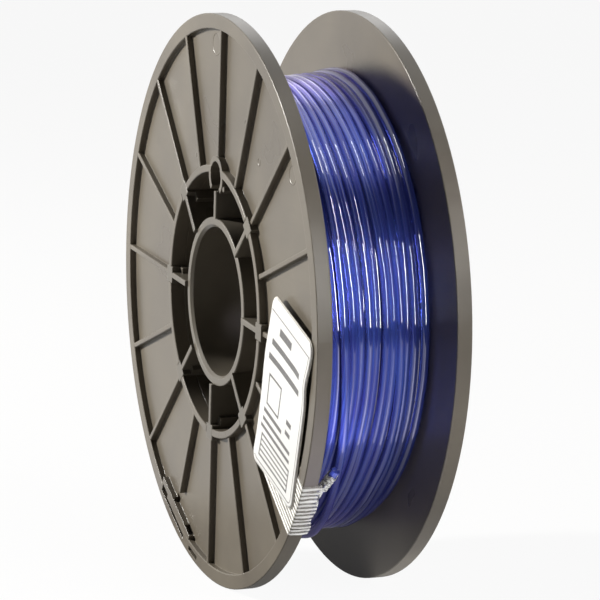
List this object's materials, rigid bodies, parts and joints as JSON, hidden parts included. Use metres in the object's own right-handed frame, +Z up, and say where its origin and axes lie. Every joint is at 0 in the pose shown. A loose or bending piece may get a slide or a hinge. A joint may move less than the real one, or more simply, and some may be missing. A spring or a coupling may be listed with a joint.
{
  "type": "filament spool",
  "caption": "Ribbed plastic reel wound with clear blue monofilament; open spoked hub, drive hole, line clip, and a label flap taped over the rim.",
  "frame": {"origin": "middle of the arbor bore, on the reel's mid-plane", "axes": "+Y along the arbor bore, away from the labelled flange; +Z up, with the reel standing on its rims"},
  "size_m": [0.2, 0.0569, 0.2],
  "materials": {
    "reel_plastic": "satin moulded grey-brown plastic",
    "hub_plastic": "satin moulded grey-brown plastic",
    "filament": "clear blue extruded monofilament",
    "label_paper": "white coated paper",
    "label_liner": "off-white backing",
    "tape_film": "clear film with white strands"
  },
  "bodies": {
    "reel": {"near_flange": "reel_plastic", "far_flange": "reel_plastic", "near_drum": "reel_plastic", "far_drum": "reel_plastic", "near_arbor": "hub_plastic", "far_arbor": "hub_plastic", "near_spokes": "hub_plastic", "far_spokes": "hub_plastic", "hub_dowels": "hub_plastic", "filament_start": "filament", "filament_pack": "filament", "filament_under_layer": "filament", "filament_outer_layer": "filament", "filament_tail": "filament", "tape_rim": "tape_film", "tape_end_wrap": "tape_film"},
    "label_flap": {"label_card": "label_paper", "label_backing": "label_liner", "tape_flap": "tape_film"}
  },
  "joints": [
    {"name": "label_lift", "type": "hinge", "parent": "reel", "child": "label_flap", "pos_m": [0.08114, -0.02725, -0.05896], "axis": [0.5878, 0, 0.809], "range_deg": [0, 120]}
  ]
}
